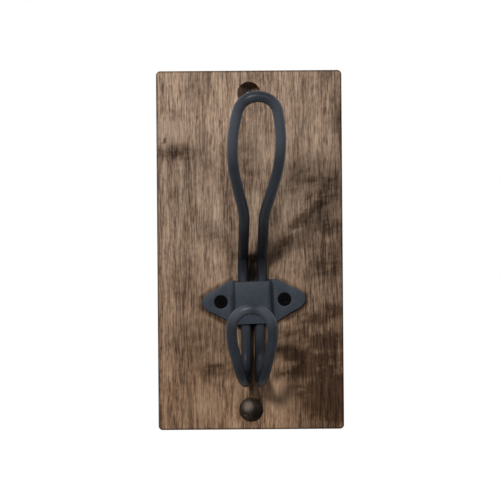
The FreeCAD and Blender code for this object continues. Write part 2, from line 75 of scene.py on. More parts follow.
def add_node(owner, kind, inputs=(), **settings):
    """Adds a node to a material or world, with its settings, and its inputs as values or links."""
    node = owner.node_tree.nodes.new(kind)
    for name, value in settings.items():
        setattr(node, name, value)
    for name, value in dict(inputs).items():
        if isinstance(value, bpy.types.NodeSocket):
            owner.node_tree.links.new(value, node.inputs[name])
        else:
            node.inputs[name].default_value = value
    return node


def new_material(name):
    """A material with an empty node tree."""
    material = bpy.data.materials.new(name)
    material.use_nodes = True
    material.node_tree.nodes.clear()
    return material


def set_ramp(node, stops):
    """Gives a colour ramp its stops, each a position and a linear colour."""
    elements = node.color_ramp.elements
    while len(elements) < len(stops):
        elements.new(0.5)
    for element, (position, colour) in zip(elements, stops):
        element.position = position
        element.color = colour


def colour_setting(name, description, default):
    """A colour that a user may change, its default given as hex."""
    return bpy.props.FloatVectorProperty(
        name=name, description=description, subtype="COLOR", size=4, min=0, max=1,
        default=linear(default))


def length_setting(name, description, default):
    """A length that a user may change, in metres."""
    return bpy.props.FloatProperty(
        name=name, description=description, unit="LENGTH", min=0, default=default, precision=5)


class HookBoardSizes(bpy.types.PropertyGroup):
    """Sizes of the finish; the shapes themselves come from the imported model."""
    coat_round: length_setting("Coat rounding", "Rounding of the stamping's cut edges", 0.00022)
    arris_round: length_setting("Arris rounding", "Sanded edge of the wooden holes", 0.00025)
    fibre_width: length_setting("Fibre width", "Width of the finest streaks", 0.00048)
    fibre_length: length_setting("Fibre length", "Length of the finest streaks", 0.0085)
    streak_width: length_setting("Streak width", "Width of the broad streaks", 0.0028)
    streak_length: length_setting("Streak length", "Length of the broad streaks", 0.040)
    ring_spacing: length_setting("Ring spacing", "Distance between growth rings", 0.0030)
    fleck_width: length_setting("Fleck width", "Width of a pore fleck", 0.0005)
    fleck_length: length_setting("Fleck length", "Length of a pore fleck", 0.0050)
    coat_grain: length_setting("Coat grain", "Orange peel of the powder coat", 0.0006)


class HookBoardColours(bpy.types.PropertyGroup):
    """Colours of the finish."""
    stain_dark: colour_setting("Stain, dark", "Where the wood drinks most stain", "#43362b")
    stain_low: colour_setting("Stain, low", "Lower mid tone", "#705b4c")
    stain_mid: colour_setting("Stain, mid", "Common tone of the board", "#957d69")
    stain_high: colour_setting("Stain, high", "Upper mid tone", "#aa917c")
    stain_light: colour_setting("Stain, light", "Hard, pale fibres", "#c3ab95")
    # Also the tint of the painted shadow and shade on the board.
    figure_and_shade: colour_setting("Figure", "What full stain leaves of the wood's colour", "#6c6157")
    # Painted shade: the near-black of the shadowed gap between the hook's legs.
    leg_gap_shade: colour_setting("Grime", "Dust and overspray between the legs", "#1c1714")
    bore: colour_setting("Bored wood", "Stained end grain inside the holes", "#544d46")
    warm: colour_setting("Warmth", "Browner wood towards the lower end", "#92723c")
    coat: colour_setting("Powder coat", "Satin blue-black coat of wire and stamping", "#282c32")
    # Painted light: the same coat as the wire, lighter on the stamping.
    coat_stamping_lit: colour_setting(
        "Powder coat, stamping", "The same coat, thinner on the flat", "#32373f")
    # Painted highlight: the paler coat on the loops' outer parts.
    coat_highlight: colour_setting("Rubbed coat", "Greyer film where rings rub the wire", "#6f747c")
    # Painted shade: the darker coat under the wire's overhang, low on its lower loop and in the
    # stamping's bends.
    coat_shade: colour_setting("Soiled coat", "Darker film where dust and oil stay", "#101216")
    screw: colour_setting("Black oxide", "Finish of the bracket screws", "#010102")
    plug: colour_setting("Plug", "Dark stained plug", "#2f2620")
    # Plug, light also gives the dome's painted highlight; Plug, deepest is its painted shade.
    plug_light_and_highlight: colour_setting("Plug, light", "Pale fibres of the plug", "#7a6d64")
    plug_shade: colour_setting("Plug, deepest", "Thickest stain on the plug", "#0e0a08")
    plug_dark: colour_setting("Plug, dark", "Dark fibres of the plug", "#1a1410")
    backdrop: colour_setting("Backdrop", "Studio floor", "#f4f3f1")
    bounce: colour_setting("Floor bounce", "Grey that the floor throws back up", "#5c5b5f")


# ---------------------------------------------------------------- materials

def pattern_space(material, scale=(1.0, 1.0, 1.0), place=(0.0, 0.0, 0.0), turn=0.0):
    """Object coordinates measured from `place`, turned about Y and divided by `scale`."""
    coordinates = add_node(material, "ShaderNodeTexCoord").outputs["Object"]
    return add_node(material, "ShaderNodeMapping", {
        "Vector": coordinates, "Location": place, "Rotation": (0.0, turn, 0.0), "Scale": scale,
    }, vector_type="TEXTURE").outputs["Vector"]


# Patterns of the wood, in metres: small mottle, broad cloud, and the rings' pith and run along it.
MOTTLE_SIZE = (0.0013, 0.0013, 0.0021)
CLOUD_SIZE = (0.020, 0.020, 0.034)
PITH = (0.021, 0.095, 0.0)
RING_RUN = 0.12
# What each layer adds to the tone of the fine grain, and where the five tones stand on the ramp.
STREAK_WEIGHT, CLOUD_WEIGHT, MOTTLE_WEIGHT, RING_WEIGHT = 0.52, 0.36, 0.28, 0.05
TONE_STOPS = (0.22, 0.38, 0.50, 0.62, 0.80)
# Gloss of the clear coat on board and plug, and the depth of the grain's relief in metres.
BOARD_GLOSS, PLUG_GLOSS = 0.06, 0.05
GRAIN_DEPTH = 0.00012


def stained_birch(name, sizes, tones, marks, gloss):
    """Flat-sawn birch with a wiped grey-brown stain under a matt coat.

    The stain settles in the pores as fine upright flecks, leaves hard fibres pale, and clouds
    where the grain turns. The coat is thin, so the surface stays dull and slightly ribbed. Real
    pores are near 0.1 mm wide and fibres finer; both are drawn near 0.5 mm wide, so that they show.
    """
    material = new_material(name)
    grain = add_node(material, "ShaderNodeTexNoise", {
        "Vector": pattern_space(material, (sizes.fibre_width,) * 2 + (sizes.fibre_length,)),
        "Scale": 1.0, "Detail": 4.0, "Roughness": 0.65, "Distortion": 0.15,
    }).outputs["Fac"]
    mottle = add_node(material, "ShaderNodeTexNoise", {
        "Vector": pattern_space(material, MOTTLE_SIZE),
        "Scale": 1.0, "Detail": 2.0, "Roughness": 0.6,
    }).outputs["Fac"]
    streaks = add_node(material, "ShaderNodeTexNoise", {
        "Vector": pattern_space(material, (sizes.streak_width,) * 2 + (sizes.streak_length,)),
        "Scale": 1.0, "Detail": 4.0, "Roughness": 0.55, "Distortion": 0.4,
    }).outputs["Fac"]
    cloud = add_node(material, "ShaderNodeTexNoise", {
        "Vector": pattern_space(material, CLOUD_SIZE),
        "Scale": 1.0, "Detail": 3.0, "Roughness": 0.5,
    }).outputs["Fac"]
    rings = add_node(material, "ShaderNodeTexWave", {
        "Vector": pattern_space(material, (sizes.ring_spacing,) * 2 + (RING_RUN,), place=PITH),
        "Scale": 0.31, "Distortion": 2.2, "Detail": 2.0, "Detail Scale": 0.6,
        "Detail Roughness": 0.6,
    }, wave_type="RINGS", rings_direction="Z").outputs["Fac"]
    flecks = add_node(material, "ShaderNodeTexNoise", {
        "Vector": pattern_space(material, (sizes.fleck_width,) * 2 + (sizes.fleck_length,)),
        "Scale": 1.0, "Detail": 1.0, "Roughness": 0.4,
    }).outputs["Fac"]

    def weighed(total, layer, weight):
        """Adds a layer to the tone, so that its middle value changes nothing."""
        shifted = add_node(material, "ShaderNodeMath", {0: layer, 1: weight, 2: -weight / 2},
                           operation="MULTIPLY_ADD").outputs[0]
        return add_node(material, "ShaderNodeMath", {0: total, 1: shifted},
                        operation="ADD").outputs[0]

    tone = grain
    for layer, weight in ((streaks, STREAK_WEIGHT), (cloud, CLOUD_WEIGHT), (mottle, MOTTLE_WEIGHT),
                          (rings, RING_WEIGHT)):
        tone = weighed(tone, layer, weight)
    ramp = add_node(material, "ShaderNodeValToRGB", {"Fac": tone})
    set_ramp(ramp, list(zip(TONE_STOPS, tones)))
    surface = ramp.outputs["Color"]

    open_grain = add_node(material, "ShaderNodeMapRange", {
        "Value": cloud, "From Min": 0.35, "From Max": 0.65, "To Min": 0.28, "To Max": 0.72,
    }).outputs["Result"]
    pores = add_node(material, "ShaderNodeMapRange", {
        "Value": flecks, "From Min": 0.56, "From Max": 0.72, "To Min": 0.0, "To Max": open_grain,
    }).outputs["Result"]
    surface = add_node(material, "ShaderNodeMix", {
        "Factor": pores, MIX_A: surface, MIX_B: tones[0],
    }, data_type="RGBA").outputs[MIX_RESULT]
    surface = marks(material, surface, grain)

    height = add_node(material, "ShaderNodeMath", {0: grain, 1: pores},
                      operation="SUBTRACT").outputs[0]
    bump = add_node(material, "ShaderNodeBump", {
        "Height": height, "Strength": 0.35, "Distance": GRAIN_DEPTH})
    shader = add_node(material, "ShaderNodeBsdfPrincipled", {
        "Base Color": surface, "Roughness": 0.62, "IOR": 1.48, "Specular IOR Level": gloss,
        "Normal": bump.outputs["Normal"],
    })
    add_node(material, "ShaderNodeOutputMaterial", {"Surface": shader.outputs["BSDF"]})
    return material


# Stain and painted shadow on the board's face: centre across and up, half width and half height in
# millimetres, turn in degrees, strength. Washes are even; clouds break up into ripples where the
# grain curls.
WASHES_AND_SHADE = [
    # The first wash is partly stain and partly the painted soft shadow of the upper loop.
    (34, 20, 24, 36, 0, 0.42),
    (37, -10, 20, 22, 0, 0.34),
    (36, -50, 28, 36, 0, 0.56),
    (36, -78, 20, 16, 0, 0.62),
    (-18, -48, 24, 18, 0, 0.40),
    (-30, 20, 30, 50, 0, 0.18),
    (30, 72, 24, 16, 0, 0.18),
    (-30, -30, 26, 26, 0, 0.26),
    (-25, -75, 30, 12, 0, 0.12),
    (43, 60, 5, 16, 0, 0.55),
    (0, 30, 14, 40, 0, 0.26),
    # Painted shade round the legs above the bracket, and a painted contact shadow round the plug.
    (1, -7, 15, 13, 0, 0.50),
    (0.5, -76.8, 9, 8.5, 0, 0.55),
]
# The bands at (14, 2), (22, 11), (30, 20), (35, 29) and (-15, 6) lie along the hook's soft shadows
# and deepen them: painted shadow over the stain clouds.
CLOUDS_AND_SHADOW_BANDS = [
    (-35, 47.0, 11, 3.8, 4, 0.62),
    (-26, 79, 5, 9, 10, 0.30),
    (-30, 33, 6, 14, 0, 0.22),
    (17, 38, 9, 4.5, -15, 0.34),
    (24, 33, 9, 5, 20, 0.34),
    (35, 29, 9, 7, 30, 0.42),
    (30, 20, 9, 4.5, 45, 0.34),
    (22, 11, 12, 3.5, 50, 0.40),
    (37, 12, 9, 5, -12, 0.36),
    (14, 2, 9, 4, 50, 0.36),
    (-15, 6, 10, 4, -45, 0.40),
    (35, -8, 9, 6, 0, 0.30),
    (24, -31, 10, 4.5, -15, 0.42),
    (37, -31, 9, 4.5, 12, 0.42),
    (20, -39, 10, 3.2, 4, 0.42),
    (34, -44, 12, 4, 8, 0.46),
    (17, -49, 10, 3.2, -10, 0.50),
    (31, -53, 13, 4, -4, 0.56),
    (-15, -57, 9, 4, -8, 0.42),
    (20, -59, 11, 3.2, 6, 0.52),
    (39, -62, 10, 6, 0, 0.52),
    (28, -68, 10, 3.4, -6, 0.36),
    (40, -74, 8, 8, 0, 0.42),
    (-2, 42, 5, 24, 0, 0.30),
    (8, 30, 6, 10, 20, 0.22),
]
# Hard places that drink little stain; (14, -69) is painted light, lifting the wood where the lower
# loop's shadow falls.
PALES_AND_LIGHT = [
    (-39, 57, 8, 6.5, 10, 0.40),
    (-20, 30, 4, 30, 0, 0.14),
    (-14, -25, 4, 30, 0, 0.10),
    (26, 66, 5, 16, 0, 0.10),
    (14, -69, 8, 9, 0, 0.42),
    (-22, -74, 9, 9, 0, 0.24),
    (17, -20, 6, 8, 0, 0.10),
    (3, 54, 3.5, 14, 0, 0.20),
    (2, 18, 3, 16, 0, 0.20),
]
# Painted contact shadow: thin dark bands on the board along the edges of the stamping's ears.
EAR_CONTACT_SHADOW = [
    (-15.5, -17.8, 10, 1.5, 29, 0.55),
    (-16.0, -32.0, 10, 1.7, -31, 0.65),
    (19.0, -17.4, 10, 1.5, -30, 0.55),
    (18.5, -31.2, 10, 1.7, 33, 0.65),
    (-23.2, -24.8, 1.6, 4, 0, 0.45),
    (26.4, -23.4, 1.6, 4, 0, 0.45),
]
# The bored holes: end grain drinks the most.
BORED = [(0, 75.15, 6.4, 6.4, 0, 0.80)]
# Painted shade: near-black patches in the shadowed gap between the legs, above and below the
# bracket.
LEG_GAP_SHADE = [(1.1, -11, 3.6, 8.0, 0, 1.0), (0.8, -37, 3.0, 5.0, 0, 0.9)]
# A pin knot with its tail.
KNOT = [
    (-40.4, 52.9, 0.8, 1.3, 0, 0.75),
    (-41.2, 51.6, 1.6, 0.5, 10, 0.45),
    (-39.9, 54.8, 0.5, 1.6, 5, 0.35),
]
# The curl that breaks up the clouds: size of a ripple in metres, and its turn.
RIPPLE_SIZE = (0.0075, 0.0075, 0.0032)
RIPPLE_TURN = math.radians(-12)
# The share of the stain that is left at the back, and the most that any place takes.
STAIN_AT_BACK, MOST_STAIN = 0.3, 0.92
# Depths from a face, in metres: where the painted shade between the legs ends, and where bored wood
# begins and is in full.
SKIN, BORE_START, BORE_FULL = 0.0003, 0.0004, 0.0015
# The browner lower end: the height where it starts, in metres, and its share at the bottom.
WARM_START, WARM_SHARE = 0.030, 0.46
# Darker towards the board's outer edges: how far inside the edge it starts and is in full, in
# metres, and its share.
ARRIS_START, ARRIS_FULL, ARRIS_SHARE = 0.0013, 0.0002, 0.72


def board_marks(colours):
    """What only the board has: stain, painted shadow and light, a knot, browner lower end, darker
    edges.
    """
    def mark(material, surface, grain):
        def painted(patches, softness):
            """The summed strength of soft-edged patches."""
            total = 0.0
            for across, up, half_width, half_height, turn, strength in patches:
                local = pattern_space(
                    material, (half_width * MM, 1.0, half_height * MM), (across * MM, 0.0, up * MM),
                    -math.radians(turn))
                far = add_node(material, "ShaderNodeVectorMath", {0: local}, operation="LENGTH")
                patch = add_node(material, "ShaderNodeMapRange", {
                    "Value": far.outputs["Value"], "From Min": 1.0 + softness, "From Max": 0.25,
                    "To Min": 0.0, "To Max": strength,
                }, interpolation_type="SMOOTHSTEP").outputs["Result"]
                total = add_node(material, "ShaderNodeMath", {0: patch, 1: total},
                                 operation="ADD").outputs[0]
            return total

        ripple = add_node(material, "ShaderNodeTexNoise", {
            "Vector": pattern_space(material, RIPPLE_SIZE, turn=RIPPLE_TURN),
            "Scale": 1.0, "Detail": 2.0, "Roughness": 0.55, "Distortion": 0.25,
        }).outputs["Fac"]
        torn = add_node(material, "ShaderNodeMapRange", {
            "Value": ripple, "From Min": 0.30, "From Max": 0.70, "To Min": 0.40, "To Max": 1.45,
        }).outputs["Result"]
        softly_torn = add_node(material, "ShaderNodeMath", {0: torn, 1: 0.35, 2: 0.65},
                               operation="MULTIPLY_ADD").outputs[0]
        pale = add_node(material, "ShaderNodeMath", {0: painted(PALES_AND_LIGHT, 0.5), 1: softly_torn},
                        operation="MULTIPLY").outputs[0]
        surface = add_node(material, "ShaderNodeMix", {
            "Factor": pale, MIX_A: surface, MIX_B: colours.stain_light,
        }, data_type="RGBA").outputs[MIX_RESULT]
        # Stain, with the painted shadow and shade of the tables above, summed.
        stain = 0.0
        for patches, softness, breakup in (
                (CLOUDS_AND_SHADOW_BANDS, 0.55, torn), (WASHES_AND_SHADE, 0.30, softly_torn), (EAR_CONTACT_SHADOW, 0.50, 1.0)):
            stain = add_node(material, "ShaderNodeMath", {
                0: painted(patches, softness), 1: breakup, 2: stain,
            }, operation="MULTIPLY_ADD").outputs[0]
        position = add_node(material, "ShaderNodeSeparateXYZ", {
            "Vector": add_node(material, "ShaderNodeTexCoord").outputs["Object"],
        })
        inward = add_node(material, "ShaderNodeMapRange", {
            "Value": position.outputs["Y"], "From Min": BOARD_LOW.y, "From Max": BOARD_HIGH.y,
            "To Min": 1.0, "To Max": STAIN_AT_BACK,
        }).outputs["Result"]
        thirst = add_node(material, "ShaderNodeMapRange", {
            "Value": grain, "From Min": 0.3, "From Max": 0.7, "To Min": 1.22, "To Max": 0.78,
        }).outputs["Result"]
        for limit, operation in (
                (inward, "MULTIPLY"), (thirst, "MULTIPLY"), (MOST_STAIN, "MINIMUM")):
            stain = add_node(material, "ShaderNodeMath", {0: stain, 1: limit},
                             operation=operation).outputs[0]
        surface = add_node(material, "ShaderNodeMix", {
            "Factor": stain, MIX_A: surface, MIX_B: colours.figure_and_shade,
        }, data_type="RGBA", blend_type="MULTIPLY").outputs[MIX_RESULT]

        depth = add_node(material, "ShaderNodeMapRange", {
            "Value": position.outputs["Y"], "From Min": BOARD_LOW.y + BORE_START,
            "From Max": BOARD_LOW.y + BORE_FULL, "To Min": 0.0, "To Max": 1.0,
        }).outputs["Result"]
        before_back = add_node(material, "ShaderNodeMath", {
            0: position.outputs["Y"], 1: BOARD_HIGH.y - BORE_START,
        }, operation="LESS_THAN").outputs[0]
        inside = add_node(material, "ShaderNodeMath", {0: depth, 1: before_back},
                          operation="MULTIPLY").outputs[0]
        bored = add_node(material, "ShaderNodeMath", {0: painted(BORED, 0.05), 1: inside},
                         operation="MULTIPLY").outputs[0]
        # Painted shade in the gap between the legs, on the front face only.
        front = add_node(material, "ShaderNodeMath", {
            0: position.outputs["Y"], 1: BOARD_LOW.y + SKIN,
        }, operation="LESS_THAN").outputs[0]
        leg_gap_shade = add_node(material, "ShaderNodeMath", {0: painted(LEG_GAP_SHADE, 0.4), 1: front},
                         operation="MULTIPLY").outputs[0]
        knot = painted(KNOT, 0.5)
        for factor, tint, blend in (
                (bored, colours.bore, "MIX"), (knot, colours.stain_dark, "MULTIPLY"),
                (leg_gap_shade, colours.leg_gap_shade, "MULTIPLY")):
            surface = add_node(material, "ShaderNodeMix", {
                "Factor": factor, MIX_A: surface, MIX_B: tint,
            }, data_type="RGBA", blend_type=blend).outputs[MIX_RESULT]
        lower = add_node(material, "ShaderNodeMapRange", {
            "Value": position.outputs["Z"], "From Min": WARM_START, "From Max": BOARD_LOW.z,
            "To Min": 0.0, "To Max": WARM_SHARE,
        }, interpolation_type="SMOOTHSTEP").outputs["Result"]
        surface = add_node(material, "ShaderNodeMix", {
            "Factor": lower, MIX_A: surface, MIX_B: colours.warm,
        }, data_type="RGBA", blend_type="SOFT_LIGHT").outputs[MIX_RESULT]

        edge = 0.0
        for axis, half in (("X", BOARD_HIGH.x), ("Z", BOARD_HIGH.z)):
            reach = add_node(material, "ShaderNodeMath", {0: position.outputs[axis]},
                             operation="ABSOLUTE").outputs[0]
            near = add_node(material, "ShaderNodeMapRange", {
                "Value": reach, "From Min": half - ARRIS_START, "From Max": half - ARRIS_FULL,
                "To Min": 0.0, "To Max": ARRIS_SHARE,
            }, interpolation_type="SMOOTHSTEP").outputs["Result"]
            edge = add_node(material, "ShaderNodeMath", {0: near, 1: edge},
                            operation="MAXIMUM").outputs[0]
        return add_node(material, "ShaderNodeMix", {
            "Factor": edge, MIX_A: surface, MIX_B: colours.figure_and_shade,
        }, data_type="RGBA", blend_type="MULTIPLY").outputs[MIX_RESULT]
    return mark


# Painted highlight and shade on the dome: centre across and up from its middle and reach in
# millimetres, strength.
PLUG_PAINTED_HIGHLIGHT = (-1.5, 1.7, 2.7, 0.75)
PLUG_PAINTED_SHADE = (3.3, -2.5, 4.6, 0.95)


def plug_painted_light(colours):
    """The plug's dome: a painted highlight on its upper left, painted shade on its lower right."""
    def mark(material, surface, grain):
        middle = (PLUG_LOW + PLUG_HIGH) / 2
        for (across, up, reach, strength), tint in (
                (PLUG_PAINTED_HIGHLIGHT, colours.plug_light_and_highlight), (PLUG_PAINTED_SHADE, colours.plug_shade)):
            far = add_node(material, "ShaderNodeVectorMath", {
                0: pattern_space(material, (reach * MM, 1.0, reach * MM),
                                 (middle.x + across * MM, 0.0, middle.z + up * MM)),
            }, operation="LENGTH")
            near = add_node(material, "ShaderNodeMapRange", {
                "Value": far.outputs["Value"], "From Min": 1.3, "From Max": 0.2, "To Min": 0.0,
                "To Max": strength,
            }, interpolation_type="SMOOTHSTEP").outputs["Result"]
            surface = add_node(material, "ShaderNodeMix", {
                "Factor": near, MIX_A: surface, MIX_B: tint}, data_type="RGBA").outputs[MIX_RESULT]
        return surface
    return mark


# Painted highlight: paler coat on the loops' outer parts: centre and reach in millimetres,
# strength.
LOOP_PAINTED_HIGHLIGHT = [
    ((-8.0, -84.0, 55.0), (10.0, 22.0, 23.0), 0.30),
    ((15.0, -86.0, 56.0), (10.0, 22.0, 23.0), 0.30),
    ((-5.0, -57.0, -29.0), (8.0, 14.0, 9.0), 0.28),
    ((8.0, -57.0, -29.0), (8.0, 14.0, 9.0), 0.28),
]
# Painted shade on the coat: under the wire's overhang and low on its lower loop, and in the
# stamping's bends.
WIRE_PAINTED_SHADE = [
    ((1.0, -24.0, -7.0), (12.0, 16.0, 13.0), 0.90),
    ((1.0, -38.0, 6.0), (16.0, 20.0, 18.0), 0.60),
    ((1.0, -42.0, -60.0), (24.0, 24.0, 18.0), 0.75),
]
BEND_PAINTED_SHADE = [
    ((-8.0, -22.0, -24.5), (2.2, 6.0, 13.0), 0.75),
    ((9.3, -22.0, -24.0), (2.6, 6.0, 13.0), 0.60),
]

# The coat: size of its broad unevenness and depth of its peel, in metres, and how far the two
# swing its tone.
DRIFT_SIZE, PEEL_DEPTH = 0.007, 0.00002
DRIFT_SWING, PEEL_SWING = 0.14, 0.20


def powder_coat(name, sizes, colour, painted_light_and_shade):
    """Satin black powder coat on steel: a baked polyester film with a fine orange peel.

    The eye gets a soft, wide highlight with no sharp reflections and a faint pebbling. The last
    argument
    lists painted tints with their places: a paler painted highlight and a darker painted shade.
    """
    material = new_material(name)
    peel = add_node(material, "ShaderNodeTexNoise", {
        "Vector": pattern_space(material, (sizes.coat_grain,) * 3), "Scale": 1.0, "Detail": 2.0,
        "Roughness": 0.5,
    }).outputs["Fac"]
    drift = add_node(material, "ShaderNodeTexNoise", {
        "Vector": pattern_space(material, (DRIFT_SIZE,) * 3), "Scale": 1.0, "Detail": 2.0,
        "Roughness": 0.5,
    }).outputs["Fac"]
    surface = colour
    for pattern, swing in ((drift, DRIFT_SWING), (peel, PEEL_SWING)):
        shade = add_node(material, "ShaderNodeMapRange", {
            "Value": pattern, "From Min": 0.3, "From Max": 0.7, "To Min": 1 - swing,
            "To Max": 1 + swing,
        }).outputs["Result"]
        surface = add_node(material, "ShaderNodeMix", {
            "Factor": 1.0, MIX_A: surface, MIX_B: shade,
        }, data_type="RGBA", blend_type="MULTIPLY").outputs[MIX_RESULT]
    # Painted highlight and painted shade, each at its places.
    for tint, places in painted_light_and_shade:
        for centre, reach, strength in places:
            far = add_node(material, "ShaderNodeVectorMath", {
                0: pattern_space(material, [r * MM for r in reach], [c * MM for c in centre]),
            }, operation="LENGTH")
            near = add_node(material, "ShaderNodeMapRange", {
                "Value": far.outputs["Value"], "From Min": 1.0, "From Max": 0.25, "To Min": 0.0,
                "To Max": strength,
            }, interpolation_type="SMOOTHSTEP").outputs["Result"]
            surface = add_node(material, "ShaderNodeMix", {
                "Factor": near, MIX_A: surface, MIX_B: tint}, data_type="RGBA").outputs[MIX_RESULT]
    rough = add_node(material, "ShaderNodeMapRange", {
        "Value": peel, "From Min": 0.3, "From Max": 0.7, "To Min": 0.3, "To Max": 0.42,
    }).outputs["Result"]
    bump = add_node(material, "ShaderNodeBump", {
        "Height": peel, "Strength": 0.20, "Distance": PEEL_DEPTH})
    shader = add_node(material, "ShaderNodeBsdfPrincipled", {
        "Base Color": surface, "Roughness": rough, "IOR": 1.5, "Specular IOR Level": 0.12,
        "Normal": bump.outputs["Normal"],
    })
    add_node(material, "ShaderNodeOutputMaterial", {"Surface": shader.outputs["BSDF"]})
    return material


# Scuffs of the oxide layer: size and depth in metres.
WEAR_SIZE, WEAR_DEPTH = 0.0009, 0.00003


def black_oxide(name, colour):
    """Black oxide on a steel screw: a thin, slightly oily conversion layer.

    The eye gets a nearly black metal with small uneven glints on the edges of the recess.
    """
    material = new_material(name)
    wear = add_node(material, "ShaderNodeTexNoise", {
        "Vector": pattern_space(material, (WEAR_SIZE,) * 3), "Scale": 1.0, "Detail": 3.0,
        "Roughness": 0.6,
    }).outputs["Fac"]
    rough = add_node(material, "ShaderNodeMapRange", {
        "Value": wear, "From Min": 0.3, "From Max": 0.7, "To Min": 0.12, "To Max": 0.3,
    }).outputs["Result"]
    bump = add_node(material, "ShaderNodeBump", {
        "Height": wear, "Strength": 0.2, "Distance": WEAR_DEPTH})
    shader = add_node(material, "ShaderNodeBsdfPrincipled", {
        "Base Color": colour, "Roughness": rough, "IOR": 1.5, "Specular IOR Level": 0.04,
        "Normal": bump.outputs["Normal"],
    })
    add_node(material, "ShaderNodeOutputMaterial", {"Surface": shader.outputs["BSDF"]})
    return material


def seen_directly(owner):
    """1 for rays that show a surface: from the camera, in a reflection or through glass."""
    path = add_node(owner, "ShaderNodeLightPath")
    seen = path.outputs["Is Camera Ray"]
    for ray in ("Is Glossy Ray", "Is Transmission Ray"):
        seen = add_node(owner, "ShaderNodeMath", {0: seen, 1: path.outputs[ray]},
                        operation="MAXIMUM").outputs[0]
    return seen


def studio_floor(name, colour, bounce):
    """Matt white paint that holds the object's shadow and fades into a white sweep further out.

    The light it throws back up is that of a grey floor, `bounce`, so undersides keep their depth.
    """
    material = new_material(name)
    seen = seen_directly(material)
    tint = add_node(material, "ShaderNodeMix", {
        "Factor": seen, MIX_A: bounce, MIX_B: colour,
    }, data_type="RGBA").outputs[MIX_RESULT]
    paint = add_node(material, "ShaderNodeBsdfDiffuse", {"Color": tint}).outputs["BSDF"]
    sweep = add_node(material, "ShaderNodeEmission", {"Color": WHITE, "Strength": 1.0})
    reach = add_node(material, "ShaderNodeVectorMath", {
        0: add_node(material, "ShaderNodeTexCoord").outputs["Object"],
        1: (0.0, 0.0, BOARD_LOW.z - FLOOR_DROP)}, operation="DISTANCE").outputs["Value"]
    fade = add_node(material, "ShaderNodeMapRange", {
        "Value": reach, "From Min": SWEEP_START, "From Max": SWEEP_END,
        "To Min": 0.0, "To Max": 1.0,
    }, interpolation_type="SMOOTHSTEP").outputs["Result"]
    white = add_node(material, "ShaderNodeMath", {0: fade, 1: seen},
                     operation="MULTIPLY").outputs[0]
    both = add_node(material, "ShaderNodeMixShader", {
        0: white, 1: paint, 2: sweep.outputs["Emission"]})
    add_node(material, "ShaderNodeOutputMaterial", {"Surface": both.outputs["Shader"]})
    return material


# ---------------------------------------------------------------- modelling

# Vertices nearer than this, in metres, are one.
MERGE = 0.000002
# Faces that meet at less than FLAT are one plane; edges above SHARP are cut edges.
FLAT, SHARP, SMOOTH = math.radians(0.4), math.radians(40), math.radians(50)
ROUND_SEGMENTS = 3


def finish_piece(piece, material, body):
    """Gives a piece its material and the body that it rides on."""
    piece.data.materials.clear()
    piece.data.materials.append(material)
    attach(piece, body)


def copy_of_node(node, name):
    """A merged copy of a CAD node's mesh, selected and active."""
    piece = bpy.data.objects.new(name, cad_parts[node].data.copy())
    bpy.context.scene.collection.objects.link(piece)
    bpy.ops.object.select_all(action="DESELECT")
    piece.select_set(True)
    bpy.context.view_layer.objects.active = piece
    bpy.ops.mesh.customdata_custom_splitnormals_clear()
    bpy.ops.object.mode_set(mode="EDIT")
    bpy.ops.mesh.select_all(action="SELECT")
    bpy.ops.mesh.remove_doubles(threshold=MERGE)
    bpy.ops.object.mode_set(mode="OBJECT")
    return piece


def soften_edges(piece, width):
    """Joins the flat triangles and rounds the sharp edges of the active piece."""
    bpy.ops.object.mode_set(mode="EDIT")
    bpy.ops.mesh.select_all(action="SELECT")
    bpy.ops.mesh.dissolve_limited(angle_limit=FLAT)
    bpy.ops.object.mode_set(mode="OBJECT")
    bevel = piece.modifiers.new("edge_round", "BEVEL")
    bevel.width = width
    bevel.segments = ROUND_SEGMENTS
    bevel.limit_method = "ANGLE"
    bevel.angle_limit = SHARP
    bpy.ops.object.modifier_apply(modifier=bevel.name)


class HOOKBOARD_OT_backboard(bpy.types.Operator):
    """Stained board with softened holes"""
    bl_idname = "hookboard.backboard"
    bl_label = "Backboard"

    def execute(self, context):
        sizes, colours = context.scene.hookboard_sizes, context.scene.hookboard_colours
        board = copy_of_node("backboard", "backboard_wood")
        soften_edges(board, sizes.arris_round)
        bpy.ops.object.shade_smooth_by_angle(angle=SMOOTH)
        tones = (colours.stain_dark, colours.stain_low, colours.stain_mid, colours.stain_high,
                 colours.stain_light)
        wood = stained_birch("stained birch", sizes, tones, board_marks(colours), BOARD_GLOSS)
        finish_piece(board, wood, "board")
        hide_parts("backboard")
        return {"FINISHED"}


class HOOKBOARD_OT_wire_hook(bpy.types.Operator):
    """Powder-coated double wire hook"""
    bl_idname = "hookboard.wire_hook"
    bl_label = "Wire hook"

    def execute(self, context):
        sizes, colours = context.scene.hookboard_sizes, context.scene.hookboard_colours
        wire = copy_of_node("wire_hook", "wire_hook_coated")
        bpy.ops.object.shade_smooth_by_angle(angle=SMOOTH)
        # A painted highlight on the loops, and painted shade under the overhang and low on the
        # lower loop.
        painted_light_and_shade = ((colours.coat_highlight, LOOP_PAINTED_HIGHLIGHT), (colours.coat_shade, WIRE_PAINTED_SHADE))
        coat = powder_coat("satin powder coat, wire", sizes, colours.coat, painted_light_and_shade)
        finish_piece(wire, coat, "board")
        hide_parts("wire_hook")
        return {"FINISHED"}


